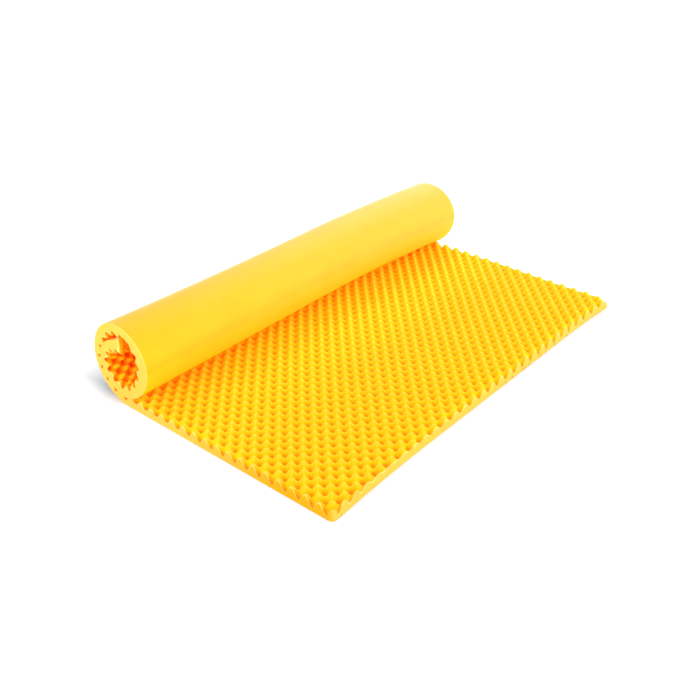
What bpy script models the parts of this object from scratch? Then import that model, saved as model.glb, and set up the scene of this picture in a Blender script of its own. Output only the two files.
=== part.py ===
"""Convoluted foam mattress topper, half laid out on the floor and half wound into a loose roll.

One cut piece of foam. Its lower side is smooth, its upper side is a checkerboard of rounded
peaks and pits. The roll is wound with the smooth side out, so the bumps face its core.

Frame: X runs across the topper, which is the axis of the roll. Y runs along it, with the
front cut at -Y and the roll at +Y. Z is up from the floor.
"""

import math

import bmesh
import bpy
import numpy as np

# Cut size of the topper, in metres.
WIDTH = 1.500
LENGTH = 1.975
PEAK_HEIGHT = 0.050
PIT_HEIGHT = 0.010
CORNER_RADIUS = 0.015

# The bumps: pits at whole periods and at half periods, peaks at the places between.
PITCH_ACROSS = 0.0494
PITCH_ALONG = 0.0478
# The cutting machine ran a little askew to the bumps.
BUMP_TURN = math.radians(0.53)
# A pit near the middle of the laid part, from the near end and from the front cut.
PIT_FROM_NEAR_END = 0.4522
PIT_FROM_FRONT = 0.5864

# The laid part, from the front cut to where the foam leaves the floor.
LAID_LENGTH = 0.830
# The middle of the wound part above the floor.
CORE_HEIGHT = 0.1433
# The smooth side of the wound foam, seen from the near end. Half a turn is 180 degrees,
# counted from the +Y side, and the foam leaves the floor at -90.
TURN_COLUMNS = ("turn_degrees", "radius")
TURNS = (
    (-90, 0.1433),
    (-75, 0.1372),
    (-45, 0.1285),
    (0, 0.1225),
    (30, 0.1252),
    (60, 0.1345),
    (90, 0.1410),
    (130, 0.1412),
    (160, 0.1325),
    (195, 0.1160),
    (225, 0.1104),
    (250, 0.1114),
    (275, 0.1140),
    (300, 0.1110),
    (330, 0.1030),
    (360, 0.0950),
    (390, 0.0882),
    (425, 0.0825),
    (448, 0.0905),
    (464, 0.1110),
    (480, 0.1130),
)
# The roll's ends spring open: the middle is lower by this share.
MIDDLE_DIP = 0.045
# The last part of the roll, towards the far end, has unwound a little to the front.
LEAN = 0.037
LEAN_STARTS = 0.6

# Wound layers lie this far apart, and squeezed bumps stop there.
LAYER_GAP = 0.0015
# The cut inner end keeps the bumps it lies on squeezed this far past it.
END_MARGIN = 0.020
# Points along the wound path, for measuring along it.
PATH_STEP = math.radians(1.5)
# The foam's thickness stands across a stretch of the smooth side this long.
BEND_REACH = 0.020
# A row of bumps next to a cut stays this far from it.
ROW_FROM_CUT = 0.005
# Places across the width where the smooth side has points, as shares of the width.
SMOOTH_COLUMNS = (0.0, 0.3, 0.6, 0.8, 1.0)

FOAM_COLOUR = (1.0, 0.61, 0.02, 1.0)
FOAM_ROUGHNESS = 0.85

PEAK_MIDDLE = (PEAK_HEIGHT + PIT_HEIGHT) / 2
PEAK_SWING = (PEAK_HEIGHT - PIT_HEIGHT) / 2


def smooth_curve(knots_x, knots_y, x):
    """A cubic through the knots, level at the first one and free at the last."""
    knots_x = np.asarray(knots_x, float)
    knots_y = np.asarray(knots_y, float)
    gaps = np.diff(knots_x)
    rises = np.diff(knots_y) / gaps
    count = len(knots_x)
    matrix = np.zeros((count, count))
    right = np.zeros(count)
    matrix[0, 0] = 1
    matrix[-1, -1] = 2
    matrix[-1, -2] = 1
    right[-1] = 3 * rises[-1]
    for i in range(1, count - 1):
        matrix[i, i - 1] = gaps[i]
        matrix[i, i] = 2 * (gaps[i - 1] + gaps[i])
        matrix[i, i + 1] = gaps[i - 1]
        right[i] = 3 * (gaps[i] * rises[i - 1] + gaps[i - 1] * rises[i])
    slopes = np.linalg.solve(matrix, right)
    i = np.clip(np.searchsorted(knots_x, x) - 1, 0, count - 2)
    t = (x - knots_x[i]) / gaps[i]
    start = (1 + 2 * t) * (1 - t) ** 2 * knots_y[i] + t * (1 - t) ** 2 * gaps[i] * slopes[i]
    end = t * t * (3 - 2 * t) * knots_y[i + 1] + t * t * (t - 1) * gaps[i] * slopes[i + 1]
    return start + end


class FoamPath:
    """The smooth side of the foam in the plane across the roll, measured along its length."""

    def __init__(self):
        degrees, radii = zip(*TURNS)
        angle = np.arange(math.radians(degrees[0]), math.radians(degrees[-1]), PATH_STEP)
        radius = smooth_curve(np.radians(degrees), radii, angle)
        wound = np.column_stack([radius * np.cos(angle), CORE_HEIGHT + radius * np.sin(angle)])
        wound[:, 0] += LAID_LENGTH
        wound[:, 1] = np.maximum(wound[:, 1], 0)
        laid_y = np.arange(0, LAID_LENGTH - PITCH_ALONG / 8, PITCH_ALONG / 8)
        laid = np.column_stack([laid_y, np.zeros(len(laid_y))])
        self.points = np.vstack([laid, wound])
        steps = np.linalg.norm(np.diff(self.points, axis=0), axis=1)
        self.station = np.concatenate([[0], np.cumsum(steps)])
        along = self.point_at(self.station + BEND_REACH) - self.point_at(self.station - BEND_REACH)
        along /= np.linalg.norm(along, axis=1)[:, None]
        self.inward = np.column_stack([-along[:, 1], along[:, 0]])
        self.room, self.met_at = self.measure_room()

    def point_at(self, station):
        """Places on the smooth side at stations along it."""
        return np.column_stack([np.interp(station, self.station, self.points[:, k]) for k in (0, 1)])

    def measure_room(self):
        """How far each point is from the next layer, and where along the path it meets it."""
        start = self.points[:-1]
        run = np.diff(self.points, axis=0)
        room = np.full(len(self.points), np.inf)
        met_at = np.full(len(self.points), np.inf)
        for i, (point, inward) in enumerate(zip(self.points, self.inward)):
            across = inward[0] * run[:, 1] - inward[1] * run[:, 0]
            across = np.where(np.abs(across) < 1e-12, 1e-12, across)
            offset = start - point
            reach = (offset[:, 0] * run[:, 1] - offset[:, 1] * run[:, 0]) / across
            share = (offset[:, 0] * inward[1] - offset[:, 1] * inward[0]) / across
            later = self.station[:-1] > self.station[i] + 4 * PEAK_HEIGHT
            hit = later & (share >= 0) & (share <= 1) & (reach > 0)
            if hit.any():
                nearest = np.argmin(np.where(hit, reach, np.inf))
                room[i] = reach[nearest]
                met_at[i] = self.station[nearest]
        return room, met_at

    def read(self, station):
        """Place, inward direction, room and meeting place at a station."""
        place = self.point_at([station])[0]
        inward = [np.interp(station, self.station, self.inward[:, k]) for k in (0, 1)]
        room = np.interp(station, self.station, np.minimum(self.room, 1.0))
        met_at = np.interp(station, self.station, np.minimum(self.met_at, 10.0))
        return place, inward, room, met_at


def lattice_at(across, along):
    """Bump periods across and along at a place on the sheet, zero at a pit."""
    east = across - PIT_FROM_NEAR_END
    north = along - PIT_FROM_FRONT
    v = (east * math.cos(BUMP_TURN) - north * math.sin(BUMP_TURN)) / PITCH_ACROSS
    u = (east * math.sin(BUMP_TURN) + north * math.cos(BUMP_TURN)) / PITCH_ALONG
    return v, u


def sheet_at(v, u):
    """The place on the sheet of a lattice point."""
    east = v * PITCH_ACROSS
    north = u * PITCH_ALONG
    across = PIT_FROM_NEAR_END + east * math.cos(BUMP_TURN) + north * math.sin(BUMP_TURN)
    along = PIT_FROM_FRONT - east * math.sin(BUMP_TURN) + north * math.cos(BUMP_TURN)
    return across, along


def foam_height(across, along):
    """Height of the bumps above the smooth side."""
    v, u = lattice_at(across, along)
    return PEAK_MIDDLE - PEAK_SWING * math.cos(2 * math.pi * v) * math.cos(2 * math.pi * u)


def round_corner(across, along):
    """Draws a place near a corner of the cut sheet in to the round corner."""
    from_side = min(across, WIDTH - across)
    from_end = min(along, LENGTH - along)
    if from_side >= CORNER_RADIUS or from_end >= CORNER_RADIUS:
        return across, along
    dx = CORNER_RADIUS - from_side
    dy = CORNER_RADIUS - from_end
    shrink = 1 - max(dx, dy) / math.hypot(dx, dy)
    across += dx * shrink * (1 if across < WIDTH / 2 else -1)
    along += dy * shrink * (1 if along < LENGTH / 2 else -1)
    return across, along


def settle(path, across, along, height):
    """The point in space of a place on the sheet, at a height above its smooth side."""
    share = across / WIDTH
    lean = LEAN * max(0, (share - LEAN_STARTS) / (1 - LEAN_STARTS)) ** 2
    swell = 1 - MIDDLE_DIP * 4 * share * (1 - share)
    wound_share = max(0, (along - LAID_LENGTH) / (LENGTH - LAID_LENGTH))
    station = along + lean * (1 - wound_share)
    place, inward, room, met_at = path.read(station)
    if met_at < LENGTH + END_MARGIN:
        height = min(height, room - LAYER_GAP)
    y = place[0] + inward[0] * height
    z = place[1] + inward[1] * height
    if station > LAID_LENGTH:
        y = LAID_LENGTH + (y - LAID_LENGTH) * swell
        z *= swell
    else:
        under_roll = (station - UNDER_ROLL_FROM) / (UNDER_ROLL_BY - UNDER_ROLL_FROM)
        z *= 1 + (swell - 1) * min(1, max(0, under_roll))
    return across - WIDTH / 2, y - lean, z


# Where along the laid part the roll starts to overhang it, and where it presses on it.
UNDER_ROLL_FROM = LAID_LENGTH - 2.4 * PITCH_ALONG
UNDER_ROLL_BY = LAID_LENGTH - 1.6 * PITCH_ALONG


def half_periods(edge_values):
    """Half periods between two cuts, given the lattice values at both ends of each cut."""
    low = min(edge_values) + 0.2
    high = max(edge_values) - 0.2
    return np.arange(math.ceil(2 * low), math.floor(2 * high) + 1) / 2


def bump_side_places():
    """Rows of places on the sheet: cut, every half period, cut, both ways."""
    corners = [lattice_at(a, b) for a in (0, WIDTH) for b in (0, LENGTH)]
    columns = half_periods([v for v, u in corners])
    rows = half_periods([u for v, u in corners])
    places = []
    for i in range(len(rows) + 2):
        row = []
        for j in range(len(columns) + 2):
            v = columns[min(max(j - 1, 0), len(columns) - 1)]
            u = rows[min(max(i - 1, 0), len(rows) - 1)]
            across, along = sheet_at(v, u)
            across = min(max(across, ROW_FROM_CUT), WIDTH - ROW_FROM_CUT)
            along = min(max(along, ROW_FROM_CUT), LENGTH - ROW_FROM_CUT)
            if j == 0:
                across = 0
            if j == len(columns) + 1:
                across = WIDTH
            if i == 0:
                along = 0
            if i == len(rows) + 1:
                along = LENGTH
            row.append((across, along))
        places.append(row)
    return places


def add_bump_side(mesh, path, places):
    """The bumpy side, its quads split from pit to pit so that each peak stands as a pyramid."""
    verts = []
    for row in places:
        line = []
        for across, along in row:
            height = foam_height(across, along)
            line.append(mesh.verts.new(settle(path, *round_corner(across, along), height)))
        verts.append(line)
    for i in range(len(verts) - 1):
        for j in range(len(verts[0]) - 1):
            a, b = verts[i][j], verts[i][j + 1]
            c, d = verts[i + 1][j + 1], verts[i + 1][j]
            low_ac = foam_height(*places[i][j]) + foam_height(*places[i + 1][j + 1])
            low_bd = foam_height(*places[i][j + 1]) + foam_height(*places[i + 1][j])
            if low_ac < low_bd:
                mesh.faces.new((a, b, c))
                mesh.faces.new((a, c, d))
            else:
                mesh.faces.new((a, b, d))
                mesh.faces.new((b, c, d))
    return verts


def add_smooth_side(mesh, path, places):
    """The smooth side, with the same rows as the bumpy side and a few columns."""
    verts = []
    for row in places:
        line = []
        for share in SMOOTH_COLUMNS:
            across = share * WIDTH
            along = np.interp(across, [place[0] for place in row], [place[1] for place in row])
            line.append(mesh.verts.new(settle(path, *round_corner(across, along), 0)))
        verts.append(line)
    for lower, upper in zip(verts, verts[1:]):
        for j in range(len(SMOOTH_COLUMNS) - 1):
            mesh.faces.new((lower[j], upper[j], upper[j + 1], lower[j + 1]))
    return verts


def add_side_cut(mesh, bumps, smooth, column):
    """The cut along one side of the topper."""
    for i in range(len(bumps) - 1):
        corners = (bumps[i], bumps[i + 1], smooth[i + 1], smooth[i])
        mesh.faces.new([line[column] for line in corners])


def add_end_cut(mesh, bump_row, smooth_row):
    """The front cut or the inner cut: triangles between two rows of unlike count."""
    i = 0
    j = 0
    while i < len(bump_row) - 1 or j < len(smooth_row) - 1:
        smooth_done = j == len(smooth_row) - 1
        bump_done = i == len(bump_row) - 1
        if smooth_done or not bump_done and bump_row[i + 1].co.x <= smooth_row[j + 1].co.x + 1e-6:
            mesh.faces.new((bump_row[i], bump_row[i + 1], smooth_row[j]))
            i += 1
        else:
            mesh.faces.new((bump_row[i], smooth_row[j + 1], smooth_row[j]))
            j += 1


def foam_material():
    """Dyed foam: matt, warm yellow."""
    material = bpy.data.materials.new("yellow_foam")
    material.use_nodes = True
    shader = material.node_tree.nodes["Principled BSDF"]
    shader.inputs["Base Color"].default_value = FOAM_COLOUR
    shader.inputs["Roughness"].default_value = FOAM_ROUGHNESS
    shader.inputs["Metallic"].default_value = 0
    return material


def centre_on_floor(mesh):
    """Puts the middle of the object's outline over the origin."""
    ys = [vert.co.y for vert in mesh.verts]
    middle = (min(ys) + max(ys)) / 2
    for vert in mesh.verts:
        vert.co.y -= middle
    return middle


def make_topper(collection):
    """The whole topper as one closed solid."""
    path = FoamPath()
    places = bump_side_places()
    mesh = bmesh.new()
    bumps = add_bump_side(mesh, path, places)
    smooth = add_smooth_side(mesh, path, places)
    add_side_cut(mesh, bumps, smooth, 0)
    add_side_cut(mesh, bumps, smooth, -1)
    add_end_cut(mesh, bumps[0], smooth[0])
    add_end_cut(mesh, bumps[-1], smooth[-1])
    middle = centre_on_floor(mesh)
    bmesh.ops.recalc_face_normals(mesh, faces=mesh.faces)
    bmesh.ops.triangulate(mesh, faces=mesh.faces)
    data = bpy.data.meshes.new("topper")
    volume = mesh.calc_volume(signed=True)
    mesh.to_mesh(data)
    mesh.free()
    topper = bpy.data.objects.new("topper", data)
    data.materials.append(foam_material())
    collection.objects.link(topper)
    print("path length", round(path.station[-1], 4), "middle", round(middle, 4))
    print("triangles", len(data.polygons), "volume in litres", round(volume * 1000, 1))
    return topper


def main():
    for old in list(bpy.data.objects):
        bpy.data.objects.remove(old)
    collection = bpy.data.collections.new("mattress_topper")
    bpy.context.scene.collection.children.link(collection)
    make_topper(collection)


main()
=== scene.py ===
# %% [markdown]
# # A mattress topper, half rolled up
#
# The object is one cut piece of convoluted foam, the kind sold as egg-crate foam. One side is
# smooth. The other side is a field of rounded peaks and pits. Less than half of it lies on the
# floor with the bumps up, and the rest is wound into a loose roll with the smooth side out.
#
# Foam is sliced by a machine that squeezes it between pimpled rollers, so the bumps follow a
# strict rule. The roll follows one too: every slice across it is nearly the same spiral. Both
# rules are written here as Geometry Nodes, and the numbers behind them have names.
#
# The first step loads the plain solid that the finished piece stands for, and keeps its box.

import math

import bpy
import numpy as np
from mathutils import Euler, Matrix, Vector


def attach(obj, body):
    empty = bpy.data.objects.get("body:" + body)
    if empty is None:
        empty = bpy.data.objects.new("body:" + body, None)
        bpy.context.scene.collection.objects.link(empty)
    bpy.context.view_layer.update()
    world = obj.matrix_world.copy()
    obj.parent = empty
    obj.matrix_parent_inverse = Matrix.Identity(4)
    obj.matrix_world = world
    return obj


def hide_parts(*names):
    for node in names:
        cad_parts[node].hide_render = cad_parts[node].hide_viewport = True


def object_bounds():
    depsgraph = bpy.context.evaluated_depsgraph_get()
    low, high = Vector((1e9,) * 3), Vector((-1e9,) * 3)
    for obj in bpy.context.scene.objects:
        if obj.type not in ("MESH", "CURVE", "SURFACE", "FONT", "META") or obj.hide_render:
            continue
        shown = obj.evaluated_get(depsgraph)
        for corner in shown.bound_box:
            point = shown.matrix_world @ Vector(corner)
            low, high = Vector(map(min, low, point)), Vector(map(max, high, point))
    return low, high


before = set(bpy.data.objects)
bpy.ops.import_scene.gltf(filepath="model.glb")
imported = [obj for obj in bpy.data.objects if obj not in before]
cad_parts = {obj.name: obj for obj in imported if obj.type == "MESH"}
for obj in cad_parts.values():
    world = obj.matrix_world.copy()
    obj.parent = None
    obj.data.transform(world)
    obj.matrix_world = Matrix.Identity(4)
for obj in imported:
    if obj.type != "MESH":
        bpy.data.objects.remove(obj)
cad_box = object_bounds()
print("plain solid:", [round(high - low, 3) for low, high in zip(*cad_box)], "m")

# %% [markdown]
# ## Sizes
#
# All sizes are metres. They are the cut size of the sheet, the bumps, and where the machine's
# knife ran across them: a little askew, which is why the zigzag on each cut edge slowly changes.

# %% Sizes of the foam
WIDTH = 1.500
LENGTH = 1.975
PEAK_HEIGHT = 0.0465
PIT_HEIGHT = 0.010
CORNER_RADIUS = 0.015
RIM_RADIUS = 0.0018

PITCH_ACROSS = 0.0494
PITCH_ALONG = 0.0478
BUMP_TURN = math.radians(0.53)
PIT_FROM_NEAR_END = 0.4522
PIT_FROM_FRONT = 0.5864

LAID_LENGTH = 0.830
ROW_MIDDLE = 0.47604
MM_PER_METRE = 1000

print("the sheet holds about", round(WIDTH * LENGTH / PITCH_ACROSS / PITCH_ALONG * 2), "peaks")

# %% [markdown]
# ## The camera
#
# A camera comes before the shapes, so that every test picture can be set beside the photograph.
# Its place and turn were worked out from the even bumps: where each pit shows in the photograph
# fixes the camera, as a chessboard does in camera calibration.

# %% Camera
CAMERA_PLACE = (-2.1639, -1.7663, 1.6841)
CAMERA_TURN = (58.684, 0.416, -49.620)
CAMERA_LENS = 49.797

camera_data = bpy.data.cameras.new("camera")
camera_data.lens = CAMERA_LENS
camera = bpy.data.objects.new("camera", camera_data)
camera.location = CAMERA_PLACE
camera.rotation_euler = Euler([math.radians(turn) for turn in CAMERA_TURN])
bpy.context.scene.collection.objects.link(camera)
bpy.context.scene.camera = camera
print("camera", round(Vector(CAMERA_PLACE).length, 2), "m from the middle of the floor")

# %% [markdown]
# ## The path that the foam follows
#
# Cut the roll across and look at its end: the smooth side of the foam draws one long line. It
# runs flat along the floor, climbs round the back, comes over the top and winds inwards. A spiral
# formula would be too even for real foam, which sags under its own weight, so the line is given
# as a short table of angle and radius round the core, with a smooth curve through it.

# %% The wound line
CORE_HEIGHT = 0.1433
# Each row is a turn in degrees, counted up from the back of the roll, and the radius there.
TURNS = (
    (-90, 0.1433),
    (-75, 0.1372),
    (-45, 0.1285),
    (0, 0.1225),
    (30, 0.1252),
    (60, 0.1345),
    (90, 0.1410),
    (130, 0.1412),
    (160, 0.1325),
    (195, 0.1160),
    (225, 0.1104),
    (250, 0.1114),
    (275, 0.1130),
    (300, 0.1075),
    (330, 0.1015),
    (360, 0.0962),
    (390, 0.0890),
    (425, 0.0838),
    (448, 0.0918),
    (464, 0.1112),
    (480, 0.1130),
)
PATH_STEP = math.radians(1.5)
LAID_STEP = PITCH_ALONG / 8


def smooth_curve(knots_x, knots_y, x):
    """A cubic through the knots, level at the first one and free at the last."""
    gaps = np.diff(knots_x)
    rises = np.diff(knots_y) / gaps
    count = len(knots_x)
    matrix = np.zeros((count, count))
    right = np.zeros(count)
    matrix[0, 0] = 1
    matrix[-1, -2:] = (1, 2)
    right[-1] = 3 * rises[-1]
    for i in range(1, count - 1):
        matrix[i, i - 1] = gaps[i]
        matrix[i, i] = 2 * (gaps[i - 1] + gaps[i])
        matrix[i, i + 1] = gaps[i - 1]
        right[i] = 3 * (gaps[i] * rises[i - 1] + gaps[i - 1] * rises[i])
    slopes = np.linalg.solve(matrix, right)
    i = np.clip(np.searchsorted(knots_x, x) - 1, 0, count - 2)
    t = (x - knots_x[i]) / gaps[i]
    start = (1 + 2 * t) * (1 - t) ** 2 * knots_y[i] + t * (1 - t) ** 2 * gaps[i] * slopes[i]
    end = t * t * (3 - 2 * t) * knots_y[i + 1] + t * t * (t - 1) * gaps[i] * slopes[i + 1]
    return start + end


turn_degrees, turn_radius = np.array(TURNS).T
angle = np.arange(math.radians(TURNS[0][0]), math.radians(TURNS[-1][0]), PATH_STEP)
radius = smooth_curve(np.radians(turn_degrees), turn_radius, angle)
wound = np.column_stack([LAID_LENGTH + radius * np.cos(angle), CORE_HEIGHT + radius * np.sin(angle)])
wound[:, 1] = np.maximum(wound[:, 1], 0)
laid_y = np.arange(0, LAID_LENGTH - LAID_STEP, LAID_STEP)
line = np.vstack([np.column_stack([laid_y, np.zeros(len(laid_y))]), wound])
station = np.concatenate([[0], np.cumsum(np.linalg.norm(np.diff(line, axis=0), axis=1))])
print("the smooth side is", round(station[-1], 3), "m long, in", len(line), "points")

# %% [markdown]
# ## How much room the bumps have
#
# The foam's thickness stands at right angles to the line. Where the foam is wound on itself, the
# next layer presses the bumps down. So each point of the line also gets three notes: which way is
# inwards, how far it is to the next layer, and whether other foam presses on its smooth side. A
# ray cast inwards from each point gives the last two.

# %% Inward direction and room
BEND_REACH = 0.020
OPEN_ROOM = 0.080
END_MARGIN = 0.020
NEXT_LAYER_AFTER = 4 * PEAK_HEIGHT
ALMOST_ZERO = 1e-12


def place_at(stations):
    """Places on the line at distances along it."""
    return np.column_stack([np.interp(stations, station, line[:, k]) for k in (0, 1)])


ahead = place_at(station + BEND_REACH) - place_at(station - BEND_REACH)
ahead /= np.linalg.norm(ahead, axis=1)[:, None]
inward = np.column_stack([-ahead[:, 1], ahead[:, 0]])


def room_from(i):
    """How far point i of the line is from the next layer of foam."""
    run = np.diff(line, axis=0)
    offset = line[:-1] - line[i]
    across = inward[i, 0] * run[:, 1] - inward[i, 1] * run[:, 0]
    across = np.where(np.abs(across) < ALMOST_ZERO, ALMOST_ZERO, across)
    reach = (offset[:, 0] * run[:, 1] - offset[:, 1] * run[:, 0]) / across
    share = (offset[:, 0] * inward[i, 1] - offset[:, 1] * inward[i, 0]) / across
    later = (station[:-1] > station[i] + NEXT_LAYER_AFTER) & (station[:-1] < LENGTH + END_MARGIN)
    hit = later & (share >= 0) & (share <= 1) & (reach > 0) & (reach < OPEN_ROOM)
    if not hit.any():
        return OPEN_ROOM, LENGTH
    nearest = np.argmin(np.where(hit, reach, OPEN_ROOM))
    return reach[nearest], station[nearest]


room, met_at = np.array([room_from(i) for i in range(len(line))]).T
pressed_points = room < PEAK_HEIGHT
first_met = met_at[pressed_points].min()
last_met = met_at[pressed_points].max()
backed = ((station >= first_met) & (station <= last_met)).astype(float)
print("pressed over", round(float(np.gradient(station)[pressed_points].sum()), 2), "m of its length")

# %% [markdown]
# Winding also stretches the smooth side, so the bumps fall a little further along than they did on
# the flat sheet, and it squeezes the bump side, so the foam is plumper in some places than others.
# One short table gives both, as the end of the roll shows them. It counts bumps from a pit in the
# laid part.

# %% Slip and plumpness
# Each row is a count of bumps along, the slip in bumps, and how many metres plumper the foam is.
WOUND = (
    (5.0, 0.00, 0.000),
    (6.0, 0.25, 0.000),
    (8.0, 0.30, 0.000),
    (14.3, 0.25, 0.000),
    (15.4, 0.36, 0.003),
    (16.7, 0.68, 0.008),
    (18.0, 0.96, 0.008),
    (19.3, 1.20, 0.004),
    (21.2, 1.25, 0.000),
    (22.5, 1.45, 0.002),
    (23.6, 1.55, -0.004),
    (25.0, 1.50, -0.008),
    (26.5, 1.50, -0.002),
    (28.3, 1.50, 0.010),
)
FIRST_PIT = 0.5906
bumps_along, slip_in_bumps, plumper_by = np.array(WOUND).T
bumps_at = (station - FIRST_PIT) / PITCH_ALONG
slip = np.interp(bumps_at, bumps_along, slip_in_bumps)
plump = np.interp(bumps_at, bumps_along, plumper_by)
print("bumps slip by", round(float(slip.max()), 2), "of a bump on the way in")

# %% [markdown]
# ## The path as a Blender object
#
# Geometry Nodes can read notes that are stored on points. The line becomes a mesh of points and
# edges with one attribute for each note: inward, room, backed, slip and plump. The node tree turns
# it into a curve, because a curve can be asked for the place that lies a given length along it.

# %% Path object
path_mesh = bpy.data.meshes.new("foam_path")
path_points = [(0, y, z) for y, z in line]
path_mesh.from_pydata(path_points, [(i, i + 1) for i in range(len(line) - 1)], [])
inward_note = path_mesh.attributes.new("inward", "FLOAT_VECTOR", "POINT")
inward_note.data.foreach_set("vector", np.column_stack([np.zeros(len(line)), inward]).ravel())
for name, values in {"room": room, "backed": backed, "slip": slip, "plump": plump}.items():
    path_mesh.attributes.new(name, "FLOAT", "POINT").data.foreach_set("value", values)
foam_path = bpy.data.objects.new("foam_path", path_mesh)
print("path object with", len(path_mesh.vertices), "points and notes inward, room, backed, slip, plump")

# %% [markdown]
# ## Adding nodes
#
# Both the shape and the material are node trees, built here in code. Two small functions add a node
# and feed its sockets. New nodes go into tidy columns, so the tree can still be read in the editor.

# %% Add and feed nodes
NODE_STEP = 180
NODES_IN_COLUMN = 12


def add_node(tree, kind, **settings):
    """Adds a node, sets its properties and puts it in the next place of a tidy grid."""
    node = tree.nodes.new(kind)
    count = len(tree.nodes) - 1
    node.location = (count // NODES_IN_COLUMN * NODE_STEP, -(count % NODES_IN_COLUMN) * NODE_STEP)
    for name, value in settings.items():
        setattr(node, name, value)
    return node


def feed(tree, socket, value):
    """Feeds a field, a socket or a plain value into a socket."""
    if isinstance(value, Field):
        value = value.socket
    if isinstance(value, bpy.types.NodeSocket):
        tree.links.new(value, socket)
    else:
        socket.default_value = value


print("nodes are placed in columns of", NODES_IN_COLUMN)

# %% [markdown]
# ## A small pocket calculator for nodes
#
# A formula with forty Math nodes is hard to read as wires. Python lets a class say what +, - and *
# mean, so here each sign adds one Math node to the tree, and the formulas below read as they
# would on paper.

# %% Fields that can be added and multiplied


class Field:
    """A number that changes from point to point."""

    def __init__(self, tree, socket):
        self.tree = tree
        self.socket = socket

    def work(self, operation, *values):
        """The outcome of one Math node."""
        node = add_node(self.tree, "ShaderNodeMath", operation=operation)
        for socket, value in zip(node.inputs, values):
            feed(self.tree, socket, value)
        return Field(self.tree, node.outputs[0])

    def __add__(self, other):
        return self.work("ADD", self, other)

    def __radd__(self, other):
        return self.work("ADD", other, self)

    def __sub__(self, other):
        return self.work("SUBTRACT", self, other)

    def __rsub__(self, other):
        return self.work("SUBTRACT", other, self)

    def __mul__(self, other):
        return self.work("MULTIPLY", self, other)

    def __rmul__(self, other):
        return self.work("MULTIPLY", other, self)

    def __truediv__(self, other):
        return self.work("DIVIDE", self, other)

    def at_least(self, other):
        return self.work("MAXIMUM", self, other)

    def at_most(self, other):
        return self.work("MINIMUM", self, other)

    def above(self, other):
        return self.work("GREATER_THAN", self, other)

    def rounded(self):
        return self.work("ROUND", self)

    def root(self):
        return self.work("SQRT", self)

    def to_power(self, other):
        return self.work("POWER", self, other)

    def cosine(self):
        return self.work("COSINE", self)

    def sine(self):
        return self.work("SINE", self)

    def arcsine(self):
        return self.work("ARCSINE", self)

    def sign(self):
        return self.work("SIGN", self)

    def unsigned(self):
        return self.work("ABSOLUTE", self)


print("fields know", [name for name in vars(Field) if not name.startswith("__")])

# %% [markdown]
# Four more helpers choose between two fields, take a vector apart, put one together, and find the
# one socket of a name that is switched on.

# %% Helpers for fields


def pick(condition, yes, no):
    """One of two fields, by a condition that is 1 or 0."""
    node = add_node(condition.tree, "GeometryNodeSwitch", input_type="FLOAT")
    for socket, value in zip(node.inputs, (condition, no, yes)):
        feed(condition.tree, socket, value)
    return Field(condition.tree, node.outputs[0])


def parts_of(tree, vector):
    """The x, y and z of a vector, as fields."""
    node = add_node(tree, "ShaderNodeSeparateXYZ")
    tree.links.new(vector, node.inputs[0])
    return [Field(tree, socket) for socket in node.outputs]


def joined(tree, x, y, z):
    """A vector socket made from three fields or numbers."""
    node = add_node(tree, "ShaderNodeCombineXYZ")
    for socket, value in zip(node.inputs, (x, y, z)):
        feed(tree, socket, value)
    return node.outputs[0]


def live(sockets, name):
    """The socket of that name that fits the node's data type. The others are switched off."""
    return [socket for socket in sockets if socket.name == name and socket.enabled][0]


print("helpers:", ", ".join(helper.__name__ for helper in (pick, parts_of, joined, live)))

# %% [markdown]
# ## The node tree and its inputs
#
# Each size becomes a named input of the tree. In the modifier panel these are the knobs that make
# another topper: wider, with finer bumps, or with a shorter laid part.

# %% Tree with named inputs
tree = bpy.data.node_groups.new("rolled_bumpy_foam", "GeometryNodeTree")
tree.interface.new_socket("Geometry", in_out="OUTPUT", socket_type="NodeSocketGeometry")
SIZE_INPUTS = {
    "Width": WIDTH,
    "Length": LENGTH,
    "Peak Height": PEAK_HEIGHT,
    "Pit Height": PIT_HEIGHT,
    "Corner Radius": CORNER_RADIUS,
    "Rim Radius": RIM_RADIUS,
    "Pitch Across": PITCH_ACROSS,
    "Pitch Along": PITCH_ALONG,
    "Bump Turn": BUMP_TURN,
    "Pit From Near End": PIT_FROM_NEAR_END,
    "Pit From Front": PIT_FROM_FRONT,
    "Laid Length": LAID_LENGTH,
    "Row Middle": ROW_MIDDLE,
}
for name, value in SIZE_INPUTS.items():
    socket = tree.interface.new_socket(name, in_out="INPUT", socket_type="NodeSocketFloat")
    socket.default_value = value
tree.interface.new_socket("Path", in_out="INPUT", socket_type="NodeSocketObject")
tree.interface.new_socket("Foam", in_out="INPUT", socket_type="NodeSocketMaterial")
group_in = add_node(tree, "NodeGroupInput")
size = {name: Field(tree, group_in.outputs[name]) for name in SIZE_INPUTS}
print("inputs:", ", ".join(size))

# %% [markdown]
# ## Graph paper round a block
#
# The foam starts as a block of graph paper: column and row numbers instead of metres, and a level
# that is 0 on the smooth side and 1 on the bumps. Its six sides are grids. The bump side needs a
# fine grid, with eight squares to a bump. The smooth side needs the same rows but far fewer
# columns, so the end cuts draw their lowest points together to meet it. Merge by Distance then
# closes the block, and no seam is left.
#
# Whole bumps are counted from one pit: 8 to the near side and 20 to the far side, 11 to the front
# and 28 into the roll. Past them comes a strip of squares that reaches to the cut, and two narrow
# squares that round off its rim.

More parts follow.
